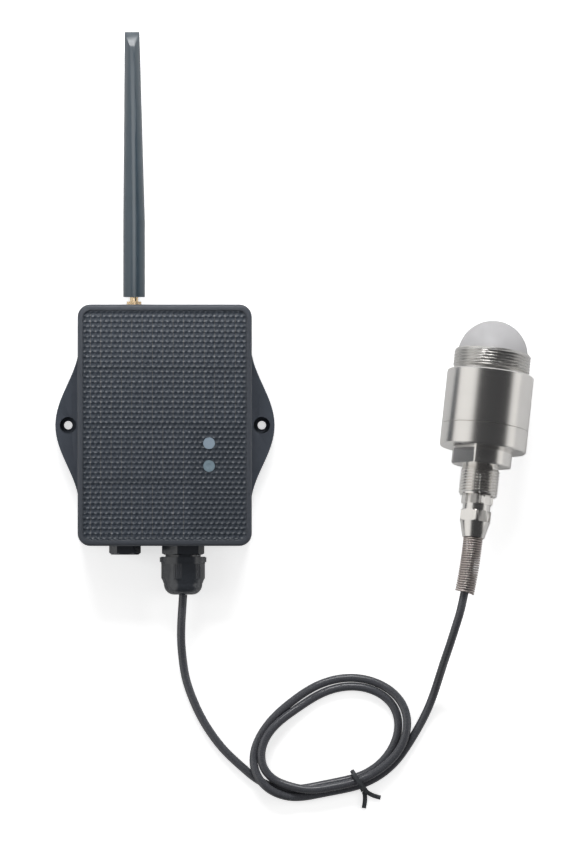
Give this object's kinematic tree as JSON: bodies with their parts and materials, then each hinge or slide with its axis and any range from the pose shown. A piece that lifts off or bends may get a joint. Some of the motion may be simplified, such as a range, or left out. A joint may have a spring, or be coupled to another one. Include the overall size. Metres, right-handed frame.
{
  "type": "radar level transmitter",
  "caption": "Dark solar radio box with whip antenna, gland and plug, joined by a short tied loop of black cable to a round stainless radar sensor with a white dome lens.",
  "frame": {"origin": "centre of the enclosure's back face, which lies on the surface", "axes": "+Z out of the solar panel, up as it lies; +Y along the antenna; +X towards the sensor head, which lies beside the enclosure with its lens towards +Y"},
  "size_m": [0.2421, 0.393, 0.0488],
  "materials": {
    "shell_plastic": "fine moulded grain, satin",
    "cover_plastic": "fine moulded grain, satin",
    "seal_rubber": "soft black",
    "gasket_rubber": "silicone, matt",
    "screw_steel": "plain",
    "panel_board": "dark laminate",
    "solar_silicon": "dark blue-grey cells with silver fingers",
    "solar_film": "clear embossed film over dark cells",
    "indicator_plastic": "pale blue-grey, translucent",
    "button_plastic": "pale blue-grey",
    "switch_plastic": "plain",
    "led_resin": "clear resin",
    "circuit_board": "solder mask",
    "holder_plastic": "plain",
    "cell_sleeve": "shrink sleeve",
    "shield_metal": "tinned can",
    "terminal_plastic": "plain",
    "wire_plastic": "plain",
    "connector_brass": "machined",
    "whip_plastic": "satin, dark blue-grey",
    "copper_wire": "drawn copper",
    "gland_plastic": "black nylon, semi-gloss",
    "lens_plastic": "translucent white fluoropolymer",
    "stainless_steel": "turned stainless steel",
    "feed_metal": "machined",
    "cable_jacket": "black jacket, soft sheen",
    "tie_plastic": "dark grey twist tie"
  },
  "bodies": {
    "device": {"back_shell": "shell_plastic", "front_cover": "cover_plastic", "cover_gasket": "gasket_rubber", "cover_screws": "screw_steel", "solar_board": "panel_board", "solar_cells": "solar_silicon", "solar_film": "solar_film", "indicator_lens": "indicator_plastic", "switch_body": "shield_metal", "status_led": "led_resin", "main_board": "circuit_board", "board_screws": "screw_steel", "battery_holder": "holder_plastic", "battery_cell": "cell_sleeve", "radio_module": "shield_metal", "terminal_block": "terminal_plastic", "lead_wires": "wire_plastic", "antenna_connector": "connector_brass", "antenna_lock_nut": "connector_brass", "antenna_o_ring": "seal_rubber", "antenna_coax": "cable_jacket", "gland_body": "gland_plastic", "gland_o_ring": "seal_rubber", "gland_lock_nut": "gland_plastic", "gland_seal": "seal_rubber", "port_plug": "gland_plastic", "port_plug_o_ring": "seal_rubber", "port_plug_nut": "gland_plastic", "lens_dome": "lens_plastic", "lens_o_ring": "seal_rubber", "front_housing": "stainless_steel", "rear_housing": "stainless_steel", "housing_o_ring": "seal_rubber", "radar_board": "circuit_board", "horn_feed": "feed_metal", "sensor_gland_body": "stainless_steel", "sensor_gland_seal": "seal_rubber", "sensor_gland_cap": "stainless_steel", "strain_spring": "stainless_steel", "cable_in_box": "cable_jacket", "cable_lead": "cable_jacket", "cable_coil": "cable_jacket", "cable_tail": "cable_jacket", "cable_in_head": "cable_jacket", "cable_tie": "tie_plastic"},
    "button": {"push_button": "button_plastic", "switch_plunger": "switch_plastic"},
    "antenna_washer": {"antenna_seal": "seal_rubber"},
    "antenna": {"antenna_coupling": "connector_brass", "antenna_whip": "whip_plastic", "antenna_radiator": "copper_wire"},
    "gland_collet": {"gland_claw": "gland_plastic"},
    "gland_nut": {"gland_cap": "gland_plastic"}
  },
  "joints": [
    {"name": "button_press", "type": "slide", "parent": "device", "child": "button", "axis": [0, 0, -1], "range_m": [0, 0.0005], "stiffness_N_per_m": 1500},
    {"name": "antenna_lift", "type": "slide", "parent": "device", "child": "antenna_washer", "axis": [0, 1, 0], "range_m": [0, 0.00318]},
    {"name": "antenna_turn", "type": "hinge", "parent": "antenna_washer", "child": "antenna", "pos_m": [-0.0156, 0.0605, 0.0124], "axis": [0, 1, 0], "range_deg": [0, 1620]},
    {"name": "gland_cap_lift", "type": "slide", "parent": "device", "child": "gland_collet", "axis": [0, -1, 0], "range_m": [0, 0.003]},
    {"name": "gland_cap_turn", "type": "hinge", "parent": "gland_collet", "child": "gland_nut", "pos_m": [0.0092, -0.0605, 0.0124], "axis": [0, -1, 0], "range_deg": [0, 720]}
  ],
  "couplings": [
    {"joint": "antenna_turn", "follows": "antenna_lift", "rad_per_m": 8904.7},
    {"joint": "gland_cap_lift", "follows": "gland_cap_turn", "m_per_rad": 0.00023873}
  ]
}
